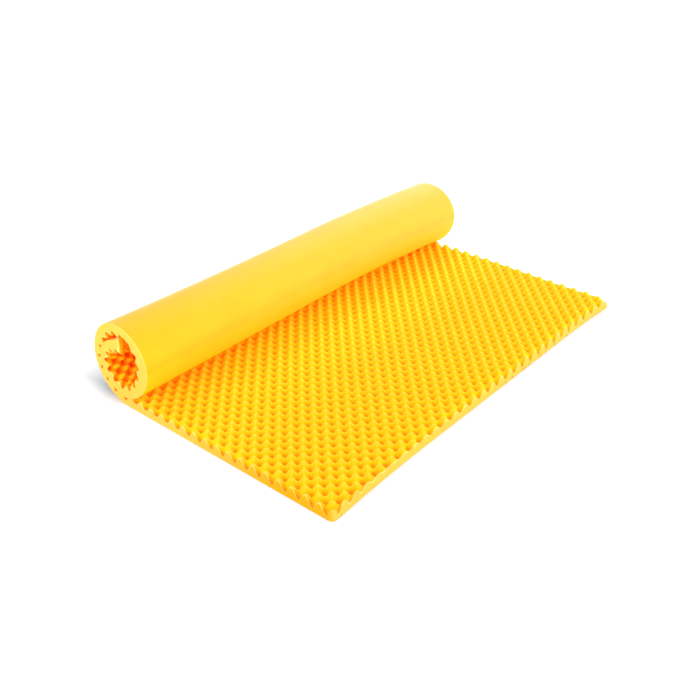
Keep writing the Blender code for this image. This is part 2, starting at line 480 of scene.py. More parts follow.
# %% Sizes of the block
SQUARES = 8
FIRST_V, LAST_V = -8, 20
FIRST_U, LAST_U = -11, 28
STRIP = 9
RIM_STEPS = 2
BORDER = STRIP + RIM_STEPS
COLUMNS = (LAST_V - FIRST_V) * SQUARES + 2 * BORDER
ROWS = (LAST_U - FIRST_U) * SQUARES + 2 * BORDER
EXACT = 6
COARSE = 18
COARSE_COUNT = (COLUMNS - 2 * EXACT) // COARSE
LEVELS = 4
EDGE_LEVEL = 0.05
MERGE_DISTANCE = 0.02
print("bump side:", COLUMNS, "by", ROWS, "squares; smooth side:", COARSE_COUNT + 2 * EXACT, "columns")

# %% [markdown]
# Each grid is laid out flat, and a small place function turns its x and y into column, row and
# level. A side that would face inwards has its faces flipped.

# %% One side of the block


def grid_side(squares_x, squares_y, place, flip=False):
    """One side of the block. place turns the grid's x and y into column, row and level."""
    grid = add_node(tree, "GeometryNodeMeshGrid")
    for name, value in zip(("Size X", "Size Y"), (squares_x, squares_y)):
        grid.inputs[name].default_value = value
    for name, value in zip(("Vertices X", "Vertices Y"), (squares_x, squares_y)):
        grid.inputs[name].default_value = value + 1
    x, y, z = parts_of(tree, add_node(tree, "GeometryNodeInputPosition").outputs[0])
    move = add_node(tree, "GeometryNodeSetPosition")
    tree.links.new(grid.outputs["Mesh"], move.inputs["Geometry"])
    spot = place(x + squares_x / 2, y + squares_y / 2)
    tree.links.new(joined(tree, *spot), move.inputs["Position"])
    if not flip:
        return move.outputs[0]
    turned = add_node(tree, "GeometryNodeFlipFaces")
    tree.links.new(move.outputs[0], turned.inputs[0])
    return turned.outputs[0]


def level_of(y):
    """The level of each line of a side wall: two lie close to the edges, to keep them crisp."""
    middle = ((y - 1) / (LEVELS - 2)).at_least(0).at_most(1) * (1 - 2 * EDGE_LEVEL)
    return middle + (y.at_most(1) + (y - (LEVELS - 1)).at_least(0)) * EDGE_LEVEL


print("a side wall has levels 0,", EDGE_LEVEL, "to", 1 - EDGE_LEVEL, "and 1")

# %% [markdown]
# The smooth side keeps the fine columns only next to the two long cuts. Between them it has one
# column where the bump side has eighteen, and the end cuts meet it there.

# %% Columns of the smooth side


def coarse_column(index):
    """The fine column number of a column of the smooth side."""
    middle = (index - EXACT).at_least(0).at_most(COARSE_COUNT)
    past = (index - (EXACT + COARSE_COUNT)).at_least(0)
    return index.at_most(EXACT) + middle * COARSE + past


def drawn_together(column):
    """The smooth side's column that is nearest to a fine column."""
    middle = (column - EXACT).at_least(0).at_most(COARSE_COUNT * COARSE)
    past = (column - (COLUMNS - EXACT)).at_least(0)
    return column.at_most(EXACT) + (middle / COARSE).rounded() * COARSE + past


def end_cut(row, flip):
    """The front cut or the inner cut: fine columns at the top, the smooth side's below."""

    def place(x, y):
        return pick(y.above(0.5), x, drawn_together(x)), row, level_of(y)

    return grid_side(COLUMNS, LEVELS, place, flip)


print("the smooth side keeps", EXACT, "fine columns at each end")

# %% [markdown]
# The six sides are the bumps, the smooth side, the near cut, the far cut, the front cut and the
# inner cut. Their edges share the same numbers, so merging joins them into one closed block.

# %% Six sides, merged
sides = [
    grid_side(COLUMNS, ROWS, lambda x, y: (x, y, 1)),
    grid_side(COARSE_COUNT + 2 * EXACT, ROWS, lambda x, y: (coarse_column(x), y, 0), True),
    grid_side(ROWS, LEVELS, lambda x, y: (0, x, level_of(y)), True),
    grid_side(ROWS, LEVELS, lambda x, y: (COLUMNS, x, level_of(y))),
    end_cut(0, False),
    end_cut(ROWS, True),
]
join = add_node(tree, "GeometryNodeJoinGeometry")
for side in reversed(sides):
    tree.links.new(side, join.inputs[0])
merge = add_node(tree, "GeometryNodeMergeByDistance")
merge.inputs["Distance"].default_value = MERGE_DISTANCE
tree.links.new(join.outputs[0], merge.inputs["Geometry"])
print("the block has", len(sides), "sides, and the tree", len(tree.nodes), "nodes")

# %% [markdown]
# ## From graph paper to the cut sheet
#
# In the middle of the sheet the squares follow the bumps exactly, so every peak and pit falls on a
# point of the mesh. The knife ran askew, so the last bump before each cut is stretched to reach
# it, and the very last two columns close the soft rim. The corners are drawn in to a round shape.

# %% Places on the sheet
RIM_STEP_TURN = math.radians(90) / RIM_STEPS
column, row, level = parts_of(tree, add_node(tree, "GeometryNodeInputPosition").outputs[0])


def round_the_rim(step):
    """How far a step past the rim's start has gone round its quarter circle, as a sine."""
    return (step.at_least(0) * RIM_STEP_TURN).sine()


def from_cut(steps_out, inner):
    """Distance from a cut, for a point some squares outside the even part."""
    out = steps_out.at_least(0)
    shrink = (1 - out / STRIP).at_least(0)
    rim = size["Rim Radius"]
    return rim + (inner - rim) * shrink - rim * round_the_rim(out - STRIP)


bump_v = ((column - BORDER) / SQUARES + FIRST_V).at_least(FIRST_V).at_most(LAST_V)
bump_u = ((row - BORDER) / SQUARES + FIRST_U).at_least(FIRST_U).at_most(LAST_U)
turn_cos = size["Bump Turn"].cosine()
turn_sin = size["Bump Turn"].sine()
east = bump_v * size["Pitch Across"]
north = bump_u * size["Pitch Along"]
even_across = size["Pit From Near End"] + east * turn_cos + north * turn_sin
even_along = size["Pit From Front"] - east * turn_sin + north * turn_cos


def stretched(steps_low, steps_high, even, whole):
    """A place on the sheet with its last bump stretched to the nearer cut."""
    low = from_cut(steps_low, even)
    high = whole - from_cut(steps_high, whole - even)
    return pick(steps_high.above(0), high, low)


across = stretched(BORDER - column, column - (COLUMNS - BORDER), even_across, size["Width"])
along = stretched(BORDER - row, row - (ROWS - BORDER), even_along, size["Length"])
print("the bumps are turned", round(math.degrees(BUMP_TURN), 2), "degrees to the cuts")

# %% [markdown]
# The round corner moves a point of the corner's square straight towards the corner's middle. How
# far a point is from the nearest cut also says how deep the soft rim is there: a quarter circle.

# %% Round corners and soft rim
INNER_CORNER_RADIUS = 0.004
side_gap = across.at_most(size["Width"] - across)
end_gap = along.at_most(size["Length"] - along)
near_half = (size["Width"] / 2).above(across) * 2 - 1
front_half = (size["Length"] / 2).above(along) * 2 - 1
corner = pick(front_half.above(0), size["Corner Radius"], INNER_CORNER_RADIUS)
into_x = (corner - side_gap).at_least(0)
into_y = (corner - end_gap).at_least(0)
straight = (into_x * into_x + into_y * into_y).root()
draw_in = 1 - into_x.at_least(into_y) / straight
across = across + into_x * draw_in * near_half
along = along + into_y * draw_in * front_half

edge_gap = side_gap.at_most(end_gap)
rim = size["Rim Radius"]
rim_short = (rim - edge_gap).at_least(0)
rim_drop = rim - (rim * rim - rim_short * rim_short).at_least(0).root()
print("nodes so far:", len(tree.nodes))

# %% [markdown]
# ## A roll that isn't a plain extrusion
#
# Real foam isn't wound as evenly as a drawing. The middle of the roll sags lower than its sprung
# ends. Its far end has unwound a little towards the front, and is a little flatter. The inner cut
# leans back, because the bump side has less room to wind in than the smooth side.
#
# A share times what is left of it is a quarter at half way, so four times that is a hump that
# reaches 1.

# %% Sag, lean and inner end
FULL_HUMP = 4
MIDDLE_DIP = 0.045
FAR_END_FLATTER = 0.042
LEAN = 0.037
LEAN_STARTS = 0.6
END_LEANS_BACK = 0.030
END_LEAN_REACH = 0.12
END_SHORT = 0.016

share = across / size["Width"]
lean = ((share - LEAN_STARTS) / (1 - LEAN_STARTS)).at_least(0)
lean = lean * lean * LEAN
swell = 1 - share * (1 - share) * (FULL_HUMP * MIDDLE_DIP)
tall = swell - (share * 2 - 1).at_least(0).to_power(2) * FAR_END_FLATTER
wound_share = ((along - size["Laid Length"]) / (size["Length"] - size["Laid Length"])).at_least(0)
end_share = 1 - (size["Length"] - along) / END_LEAN_REACH
path_length = along + lean * (1 - wound_share)
path_length = path_length - end_share.at_least(0) * level * END_LEANS_BACK - wound_share * END_SHORT
print(f"the middle of the roll sags by {MIDDLE_DIP:.1%}")

# %% [markdown]
# ## Front corners
#
# Nothing holds the two front corners, and soft foam spreads there. The near corner slides forward.
# The far one slides forward and outwards, its edge lies lower, and its rows of bumps drift with
# it. Each value below is largest at its corner and fades to 0 further in.

# %% Front corners that spread
FLARE = 0.014
FLARE_SLIP = 0.009
FLARE_ACROSS = 0.42
FLARE_ALONG = 0.30
FAR_FLARE = 0.011
FAR_FLARE_FORWARD = 0.009
FAR_FLARE_SLIP = 0.011
FAR_FLARE_ACROSS = 0.25
FAR_ROW_SLIP = 0.04
FAR_ROW_ALONG = 0.45
FAR_EDGE_LOW = 0.009
FAR_EDGE_REACH = 0.025
FAR_TIP_LOW = 0.012
FAR_TIP_REACH = 0.05

near_corner = (1 - across / FLARE_ACROSS).at_least(0)
near_corner = near_corner * near_corner * (1 - along / FLARE_ALONG).at_least(0)
far_gap = size["Width"] - across
far_fade = (1 - far_gap / FAR_FLARE_ACROSS).at_least(0)
row_fade = (1 - along / FAR_ROW_ALONG).at_least(0)
far_corner = far_fade * (1 - along / FLARE_ALONG).at_least(0)
far_row = far_fade * row_fade
far_edge = (1 - far_gap / FAR_EDGE_REACH).at_least(0) * row_fade
far_tip = (1 - (far_gap * far_gap + along * along).root() / FAR_TIP_REACH).at_least(0)
print("the front corners spread by", [round(flare * MM_PER_METRE) for flare in (FLARE, FAR_FLARE)], "mm")

# %% [markdown]
# ## Reading the path
#
# Each place on the sheet looks up its own length along the path. Sample Curve answers with the
# place of the smooth side there, and with each note that was stored on the line.

# %% Look up the path
path_info = add_node(tree, "GeometryNodeObjectInfo", transform_space="ORIGINAL")
feed(tree, path_info.inputs["Object"], group_in.outputs["Path"])
path_curve = add_node(tree, "GeometryNodeMeshToCurve")
tree.links.new(path_info.outputs["Geometry"], path_curve.inputs["Mesh"])


def on_path(name, data_type):
    """What the path says at this length: one stored note, and the place."""
    note = add_node(tree, "GeometryNodeInputNamedAttribute", data_type=data_type)
    note.inputs["Name"].default_value = name
    sample = add_node(tree, "GeometryNodeSampleCurve", mode="LENGTH", data_type=data_type)
    tree.links.new(path_curve.outputs[0], sample.inputs["Curves"])
    tree.links.new(live(note.outputs, "Attribute"), live(sample.inputs, "Value"))
    feed(tree, sample.inputs["Length"], path_length)
    return live(sample.outputs, "Value"), sample.outputs["Position"]


room_value, path_place = on_path("room", "FLOAT")
path_room = Field(tree, room_value)
path_backed = Field(tree, on_path("backed", "FLOAT")[0])
path_slip = Field(tree, on_path("slip", "FLOAT")[0])
path_plump = Field(tree, on_path("plump", "FLOAT")[0])
_, path_y, path_z = parts_of(tree, path_place)
_, inward_y, inward_z = parts_of(tree, on_path("inward", "FLOAT_VECTOR")[0])
print("nodes so far:", len(tree.nodes))

# %% [markdown]
# ## The bumps
#
# The pattern is counted in bumps: v across the sheet and u along it, both 0 in the pit that
# everything is counted from. The front edge, the free corners and the wound part are stretched or
# squeezed foam, so there the count slips a little.

# %% Bumps counted across and along
FULL_TURN = 2 * math.pi
FRONT_SLIP = 0.05
FRONT_SLIP_FADES = 0.25
WOUND_SLIP = 0.214
from_pit_x = across - size["Pit From Near End"]
from_pit_y = along - size["Pit From Front"]
v = (from_pit_x * turn_cos - from_pit_y * turn_sin) / size["Pitch Across"]
u = (from_pit_x * turn_sin + from_pit_y * turn_cos) / size["Pitch Along"]
v = v + wound_share * WOUND_SLIP - far_row * FAR_ROW_SLIP
u = u + (1 - along / FRONT_SLIP_FADES).at_least(0) * FRONT_SLIP - path_slip
u = u - near_corner * (FLARE_SLIP / PITCH_ALONG) - far_corner * (FAR_FLARE_SLIP / PITCH_ALONG)
print("bumps across:", round(WIDTH / PITCH_ACROSS, 1), "bumps along:", round(LENGTH / PITCH_ALONG, 1))

# %% [markdown]
# Two cosines multiplied give the egg-crate: a pit where both are at their highest or both at their
# lowest, a peak where they differ, and a saddle between each pair of peaks. An arcsine makes the
# slopes straighter. Plain cosines look too round on the near cut, where the laid part shows pointed
# peaks and the wound part shows pointed pits, so some of a pointed wave is mixed in there.

# %% Bump height
POINTEDNESS = 0.80
SADDLE_RAISE = 0.004
CUSP_LAID = 0.4
CUSP_WOUND = 0.25
CUSP_INSIDE = 0.15
CUSP_CUT_REACH = 0.02
WOUND_SOON = 20

wave_across = (v * FULL_TURN).cosine()
wave_along = (u * FULL_TURN).cosine()
narrow_pits = 1 - (u * math.pi).sine().unsigned() * 2
narrow_peaks = (u * math.pi).cosine().unsigned() * 2 - 1
near_cut = (1 - side_gap / CUSP_CUT_REACH).at_least(0)
in_roll = (wound_share * WOUND_SOON).at_most(1)
wound_cusp = in_roll * (CUSP_INSIDE + (CUSP_WOUND - CUSP_INSIDE) * near_cut)
wave_along = wave_along + (narrow_pits - wave_along) * wound_cusp
wave_along = wave_along + (narrow_peaks - wave_along) * near_cut * (1 - in_roll) * CUSP_LAID
wave = (wave_across * wave_along * POINTEDNESS).arcsine() / math.asin(POINTEDNESS)

middle_height = (size["Peak Height"] + size["Pit Height"]) / 2
swing = (size["Peak Height"] - size["Pit Height"]) / 2
free_height = middle_height - swing * wave + (1 - wave * wave) * SADDLE_RAISE + path_plump
free_height = free_height - far_tip * FAR_TIP_LOW - far_edge * FAR_EDGE_LOW
print("pits are", round((PEAK_HEIGHT - PIT_HEIGHT) * MM_PER_METRE, 1), "mm deep")

# %% [markdown]
# Foam that is pressed to less than its height gives up its peaks and pushes them into the pits. It
# keeps small pockets where the pits were. A face that another layer presses on keeps no soft rim.

# %% Pressed height
LAYER_GAP = 0.0002
POCKET_DEPTH = 0.011
POCKET_FROM = 0.40
POCKET_SLOPE = 0.35
POCKET_WIDENING = 0.1
PRESS_FULLY = 0.010
TOUCH_SHARPNESS = 500

pressed = (size["Peak Height"] - path_room).at_least(0)
pressing = (pressed / PRESS_FULLY).at_most(1)
pit_like = wave_across.unsigned().to_power(POCKET_WIDENING) * wave_across.sign() * wave_along
pocket = ((pit_like - POCKET_FROM) / POCKET_SLOPE).at_least(0).at_most(1) * POCKET_DEPTH
clear_height = free_height.at_most(path_room)
height = clear_height + (path_room - pocket - clear_height) * pressing - LAYER_GAP
touching = (pressed * TOUCH_SHARPNESS).at_most(1)
top_drop = rim_drop * (1 - touching)
bottom_drop = rim_drop * (1 - path_backed)
lift = bottom_drop + (height - top_drop - bottom_drop) * level
print("nodes so far:", len(tree.nodes))

# %% [markdown]
# The last step starts at the path and goes inwards by that height. The sag and the flatter end
# scale the roll down towards the floor and towards the line where it leaves the floor. The bumps
# that run in under the roll get lower over less than one bump, so that no step shows.

# %% Final place
UNDER_ROLL_FROM = 2.4
UNDER_ROLL_BY = 1.6

laid = size["Laid Length"]
under_from = laid - size["Pitch Along"] * UNDER_ROLL_FROM
under_run = size["Pitch Along"] * (UNDER_ROLL_FROM - UNDER_ROLL_BY)
under_roll = ((path_length - under_from) / under_run).at_least(0).at_most(1)
on_roll = path_length.above(laid)
raw_y = path_y + inward_y * lift
raw_z = path_z + inward_z * lift
final_x = across - size["Width"] / 2 + far_corner * far_corner * FAR_FLARE
final_y = pick(on_roll, laid + (raw_y - laid) * swell, raw_y) - lean - size["Row Middle"]
final_y = final_y - near_corner * FLARE - far_corner * far_corner * FAR_FLARE_FORWARD
final_z = pick(on_roll, raw_z * tall, raw_z * (1 + (tall - 1) * under_roll))
final_place = joined(tree, final_x, final_y, final_z)
print("nodes in the whole formula:", len(tree.nodes))

# %% [markdown]
# ## Notes for the material
#
# The material needs to know where it is: on a cut face, down in a pit, on the bump side, in a pit
# that the near or the front cut has opened, or at the inner end of the sheet. These are stored as
# attributes before the points move, while column, row and level still say so.

# %% Notes for the material
CUT_NOTE_REACH = 0.6
INNER_CUT_FADES = 0.006
INNER_CUT_STARTS = 0.5
INNER_CUT_DEEP = 0.006
INNER_CUT_SHADE = 0.5
INNER_CUT_NEAR = 0.03
OPEN_PIT_REACH = 0.03
OPEN_PIT_DEEPER = 0.55
OPEN_PIT_SETS_IN = 3
OPEN_PIT_FADES = 0.45
OPEN_PIT_LEAST = 0.2
OPEN_PIT_GAIN = 2.5

cut_note = (1 - edge_gap / (rim * CUT_NOTE_REACH)).at_least(0).at_most(1)
before_inner_cut = (size["Length"] - along) / INNER_CUT_FADES - INNER_CUT_STARTS
cut_note = cut_note * before_inner_cut.at_least(0).at_most(1)

open_pit = (1 - across.at_most(along) / OPEN_PIT_REACH).at_least(0)
open_pit = open_pit * (1 - across.at_least(along) / OPEN_PIT_FADES).at_least(OPEN_PIT_LEAST)
# The depth note sets the painted pit shade in the material. Pits that a cut has opened get extra painted
# shade.
depth_note = level * (size["Peak Height"] - height) / (size["Peak Height"] - size["Pit Height"])
in_pit = (depth_note * OPEN_PIT_SETS_IN).at_most(1)
depth_note = depth_note + level * in_pit * open_pit * OPEN_PIT_DEEPER

# The inner cut face gets painted pit shade through the depth note, strongest near the near end.
inner_end = ((along - size["Length"]) / INNER_CUT_DEEP + 1).at_least(0)
near_end_share = (1 - across / INNER_CUT_NEAR).at_least(0)
inner_cut = inner_end * (INNER_CUT_SHADE + near_end_share * (1 - INNER_CUT_SHADE))
NOTES = {
    "cut_face": cut_note,
    "depth": depth_note.at_least(inner_cut),
    "bump_side": level.at_least(inner_cut),
    "open_pit": (open_pit * OPEN_PIT_GAIN).at_most(1),
    "inner_end": inner_end,
}
print("notes for the material:", ", ".join(NOTES))

# %% [markdown]
# The tree is closed here. The notes are stored, the points move to their places, and Realize
# Instances and Set Material come last, so that nothing stays virtual.

# %% Store the notes and close the tree


def store_note(flow, name, data_type, value):
    """Stores a value on each point of the geometry that flows by, and passes it on."""
    store = add_node(tree, "GeometryNodeStoreNamedAttribute", data_type=data_type, domain="POINT")
    store.inputs["Name"].default_value = name
    tree.links.new(flow, store.inputs["Geometry"])
    feed(tree, live(store.inputs, "Value"), value)
    return store.outputs[0]


flow = merge.outputs[0]
for name, value in NOTES.items():
    flow = store_note(flow, name, "FLOAT", value)
flow = store_note(flow, "lattice", "FLOAT_VECTOR", joined(tree, u, v, lift))
settle = add_node(tree, "GeometryNodeSetPosition")
tree.links.new(flow, settle.inputs["Geometry"])
tree.links.new(final_place, settle.inputs["Position"])
smooth = add_node(tree, "GeometryNodeSetShadeSmooth")
tree.links.new(settle.outputs[0], smooth.inputs["Geometry"])
realize = add_node(tree, "GeometryNodeRealizeInstances")
tree.links.new(smooth.outputs[0], realize.inputs[0])
finish = add_node(tree, "GeometryNodeSetMaterial")
tree.links.new(realize.outputs[0], finish.inputs["Geometry"])
tree.links.new(group_in.outputs["Foam"], finish.inputs["Material"])
group_out = add_node(tree, "NodeGroupOutput")
tree.links.new(finish.outputs[0], group_out.inputs[0])
print("tree closed with", len(tree.nodes), "nodes")

# %% [markdown]
# ## The foam material
#
# Dyed open-cell foam scatters light deep in its pores. Each bounce makes the yellow purer, so pits
# turn orange by themselves when the base colour sends back nearly all red, half the green and
# almost no blue. On top of that, light and shade are painted into the base colour: orange shade in
# the pits, highlights on crests, rims and grazing faces, and lighter or darker parts by place. The
# colours are blended by the stored notes and by the place on the piece. That place comes in metres
# from the floor under the middle of the topper.

# %% Foam material and its tools
FOAM_SHINE = 0.05

foam = bpy.data.materials.new("yellow_foam")
foam.use_nodes = True
foam_nodes = foam.node_tree
shader = foam_nodes.nodes["Principled BSDF"]
shader.inputs["Specular IOR Level"].default_value = FOAM_SHINE


def note(name):
    """A stored attribute in the material, as a number."""
    node = add_node(foam_nodes, "ShaderNodeAttribute", attribute_name=name)
    return Field(foam_nodes, node.outputs["Fac"])


def blend_colours(amount, first, second):
    """Mixes two colours by an amount that varies over the surface."""
    node = add_node(foam_nodes, "ShaderNodeMix", data_type="RGBA")
    feed(foam_nodes, node.inputs["Factor"], amount)
    feed(foam_nodes, live(node.inputs, "A"), first)
    feed(foam_nodes, live(node.inputs, "B"), second)
    return live(node.outputs, "Result")


cut_face = note("cut_face")
depth = note("depth")
bump_side = note("bump_side")
foam_place = add_node(foam_nodes, "ShaderNodeTexCoord").outputs["Object"]
foam_x, foam_y, foam_z = parts_of(foam_nodes, foam_place)
along_roll = (foam_x / WIDTH + 0.5).at_least(0).at_most(1)
print("foam material reads cut_face, depth, bump_side and its place")

# %% [markdown]
# Tips catch the most light, so they are painted a deeper yellow than the slopes as painted shade,
# and beside a cut that painted shade reaches the slopes too. Pits get a painted orange shade that
# grows with depth. Thin pale crests are painted highlights that run slantwise over the saddles, from
# bump to bump. One family of them grows stronger towards the far end, and the family that crosses it
# fades there.

# %% Tips, pits and crests
# Painted light on the bumps: a deeper yellow as shade on the tips, an orange shade in the pits, pale
# painted highlights on the crests.
FOAM_YELLOW = (1.0, 0.42, 0.0, 1)
TIP_SHADED_YELLOW = (1.0, 0.32, 0.0, 1)
PIT_SHADE_ORANGE = (1.0, 0.22, 0.0, 1)
CREST_HIGHLIGHT_YELLOW = (1.0, 0.48, 0.06, 1)
TIP_REACH = 0.6
PIT_SHARPNESS = 5
CREST_SHARPNESS = 14
CREST_STRENGTH = 0.35
CREST_GAIN = 0.35
CREST_FAR_FROM, CREST_FAR_RUN = 0.35, 0.45
CROSS_CREST_FADE = 0.9
CREST_AT_TIP, CREST_DOWN_SLOPE = 1.1, 2


def nearness_to_ridges(place):
    """1 on one family of slanting ridge lines, 0 half way between two of them."""
    return 0.5 - (place * FULL_TURN).cosine() * 0.5


lattice = add_node(foam_nodes, "ShaderNodeAttribute", attribute_name="lattice").outputs["Vector"]
along_bumps, across_bumps, _ = parts_of(foam_nodes, lattice)
far_share = ((along_roll - CREST_FAR_FROM) / CREST_FAR_RUN).at_least(0).at_most(1)
# The crest lines are painted highlights.
crest_highlight = nearness_to_ridges(along_bumps - across_bumps).to_power(CREST_SHARPNESS)
crest_highlight = crest_highlight * (CREST_STRENGTH + far_share * CREST_GAIN)
cross_crest_highlight = nearness_to_ridges(along_bumps + across_bumps).to_power(CREST_SHARPNESS)
crest_highlight = crest_highlight.at_least(cross_crest_highlight * (1 - far_share * CROSS_CREST_FADE) * CREST_STRENGTH)
crest_highlight = crest_highlight * (CREST_AT_TIP - depth * CREST_DOWN_SLOPE).at_least(0).at_most(1)
# Painted shade: tips, and slopes beside a cut, get the deeper yellow; pits get the orange.
off_tip = (depth / TIP_REACH).at_most(1) * (1 - note("open_pit"))
tip_shaded_colour = blend_colours(off_tip, TIP_SHADED_YELLOW, FOAM_YELLOW)
pit_shade_colour = blend_colours(depth.to_power(PIT_SHARPNESS).at_most(1), tip_shaded_colour, PIT_SHADE_ORANGE)
bump_colour = blend_colours(crest_highlight, pit_shade_colour, CREST_HIGHLIGHT_YELLOW)
print("bump side blended with", len(foam_nodes.nodes), "nodes")

# %% [markdown]
# The smooth side is a calmer yellow, a little paler towards the far end, and it is painted lighter
# low on the roll, where it gets less light. A sheen is painted into the base colour too: at a
# grazing angle, which Layer Weight gives, the colour turns to a paler yellow, a painted highlight
# for fine cell walls that send back more light there. Only faces that look upwards get it.

# %% Smooth side and sheen
SKIN_NEAR_YELLOW = (1.0, 0.33, 0.009, 1)
SKIN_FAR_YELLOW = (1.0, 0.355, 0.045, 1)
SKIN_LOW_YELLOW = (1.0, 0.74, 0.0, 1)
SKIN_LOW_FROM, SKIN_LOW_TO = 0.03, 0.17
SHEEN_YELLOW = (1.0, 0.40, 0.2, 1)
BUMP_SHEEN_YELLOW = (1.0, 0.48, 0.035, 1)
SHEEN_SHARPNESS = 4
BUMP_SHEEN_SHARPNESS = 2.2
SHEEN_UPWARD = 2

up_the_roll = ((foam_z - SKIN_LOW_FROM) / (SKIN_LOW_TO - SKIN_LOW_FROM)).at_least(0).at_most(1)
skin_colour = blend_colours(along_roll, SKIN_NEAR_YELLOW, SKIN_FAR_YELLOW)
skin_colour = blend_colours(up_the_roll, SKIN_LOW_YELLOW, skin_colour)
side_colour = blend_colours(bump_side, skin_colour, bump_colour)

# Painted sheen: grazing, upward faces are blended towards a paler yellow.
facing = Field(foam_nodes, add_node(foam_nodes, "ShaderNodeLayerWeight").outputs["Facing"])
normal = add_node(foam_nodes, "ShaderNodeNewGeometry").outputs["Normal"]
_, front_facing, upward = parts_of(foam_nodes, normal)
sheen_sharpness = SHEEN_SHARPNESS + (BUMP_SHEEN_SHARPNESS - SHEEN_SHARPNESS) * bump_side
sheen = facing.to_power(sheen_sharpness) * (upward * SHEEN_UPWARD).at_least(0).at_most(1)
sheen_colour = blend_colours(bump_side, SHEEN_YELLOW, BUMP_SHEEN_YELLOW)
side_colour = blend_colours(sheen, side_colour, sheen_colour)
print("both sides blended with", len(foam_nodes.nodes), "nodes")

# %% [markdown]
# Cut faces are painted paler, partly because the knife opens the cells and partly as painted light.
# On the long near cut, over the front of the laid part, which turns away from the light, a deeper
# yellow is painted shade, and cut faces that look to the front or lie on the far side are painted
# paler as painted light. A thin pale line, a painted highlight, marks each rim, where the note
# passes from 0 to 1, and is made with the same hump as the sag.

# %% Cut faces
CUT_YELLOW = (1.0, 0.362, 0.045, 1)
# A deeper yellow as painted shade on the near cut, and a pale rim line as a painted highlight.
CUT_SHADED_YELLOW = (1.0, 0.262, 0.0, 1)
EDGE_HIGHLIGHT_YELLOW = (1.0, 0.47, 0.15, 1)
CUT_LOW_FROM, CUT_LOW_TO = -0.30, 0.15
FRONT_CUT_PALENESS = 0.9
FAR_SIDE_SLOPE = 4
EDGE_STRENGTH = 0.9

# Painted light: cut faces that look to the front or lie on the far side are painted paler.
front_light_share = (front_facing * -FRONT_CUT_PALENESS).at_least(0)
up_the_cut = ((foam_y - CUT_LOW_FROM) / (CUT_LOW_TO - CUT_LOW_FROM)).at_least(0).at_most(1)
far_side_light_share = (foam_x * FAR_SIDE_SLOPE).at_least(0).at_most(1)
painted_light_share = up_the_cut.at_least(front_light_share).at_least(far_side_light_share)
cut_yellow = blend_colours(painted_light_share, CUT_SHADED_YELLOW, CUT_YELLOW)
cut_colour = blend_colours(cut_face, side_colour, cut_yellow)
edge_highlight = cut_face * (1 - cut_face) * FULL_HUMP
foam_colour = blend_colours(edge_highlight * EDGE_STRENGTH, cut_colour, EDGE_HIGHLIGHT_YELLOW)
print("foam colours blended with", len(foam_nodes.nodes), "nodes")

# %% [markdown]
# Seen close up, the foam is a froth of cut bubbles about a millimetre wide, with a few coarser
# ones. The dye also lies a little unevenly, in patches of a few centimetres. Cut faces carry faint
# level lines from the long blade that trimmed the sheet.

# %% Cells, patches and knife lines
CELLS_PER_METRE = 850
COARSE_CELLS_PER_METRE = 260
PATCHES_PER_METRE = 14
KNIFE_LINES_PER_METRE = 420
KNIFE_LINE_WANDER = 30
KNIFE_LINE_SHARE = 0.12
CELL_RIM = 0.7
COARSE_CELL_SHARE = 0.5
PATCH_STRENGTH = 0.10
CELL_STRENGTH = 0.12


def texture(kind, scale, output, **settings):
    """A procedural texture on the foam's own coordinates, as a number."""
    node = add_node(foam_nodes, kind, **settings)
    foam_nodes.links.new(foam_place, node.inputs["Vector"])
    node.inputs["Scale"].default_value = scale
    return Field(foam_nodes, node.outputs[output])


cells = texture("ShaderNodeTexVoronoi", CELLS_PER_METRE, "Distance")
coarse_cells = texture("ShaderNodeTexVoronoi", COARSE_CELLS_PER_METRE, "Distance")
patches = texture("ShaderNodeTexNoise", PATCHES_PER_METRE, "Fac")
knife_wave = foam_z * (FULL_TURN * KNIFE_LINES_PER_METRE) + patches * KNIFE_LINE_WANDER
knife_lines = knife_wave.sine() * cut_face
coarse_froth = coarse_cells * coarse_cells * COARSE_CELL_SHARE
froth = cells.at_most(CELL_RIM) + coarse_froth + knife_lines * KNIFE_LINE_SHARE
tone = 1 + (patches - 0.5) * PATCH_STRENGTH - (froth - 0.5) * CELL_STRENGTH
print("cells are about", round(MM_PER_METRE / CELLS_PER_METRE, 1), "mm wide")

# %% [markdown]
# Three tones on green are painted light, and each depends on the place alone. Bumps next to the
# roll are painted lighter, so that they stay yellow in its shade. The roll is painted brightest at
# about two thirds of its height and painted darker evenly from there. The inner end of the sheet is
# painted with a glow.

# %% Painted light on green
NEAR_ROLL_FROM, NEAR_ROLL_RUN = -0.10, 0.20
NEAR_ROLL_SHALLOW = 1.2
NEAR_ROLL_LIFT = 0.34
NEAR_ROLL_LEAST, NEAR_ROLL_MOST = 0.15, 0.6
SKIN_BRIGHT_AT = 0.20
SKIN_BRIGHT = 1.09
SKIN_FADE = 3.4
SKIN_SOFT = 0.02
SKIN_LEAST = 0.86
INNER_GLOW = 0.9
INNER_GLOW_RUN = 0.06

# Painted light: bumps beside the roll are painted lighter in its shade.
painted_light_near_roll = ((foam_y - NEAR_ROLL_FROM) / NEAR_ROLL_RUN).at_least(0).at_most(1)
painted_light_near_roll = painted_light_near_roll * (1 - depth * NEAR_ROLL_SHALLOW).at_least(0) * bump_side * (1 - cut_face)
painted_light_near_roll = painted_light_near_roll * (along_roll + NEAR_ROLL_LEAST).at_most(NEAR_ROLL_MOST)
# Painted light and shade on the smooth side of the roll, by height.
off_bright = foam_z - SKIN_BRIGHT_AT
off_bright = (off_bright * off_bright + SKIN_SOFT * SKIN_SOFT).root() - SKIN_SOFT
painted_skin_light = (SKIN_BRIGHT - off_bright * SKIN_FADE).at_least(SKIN_LEAST)
skin_share = (1 - bump_side) * (1 - cut_face) * foam_y.above(0)
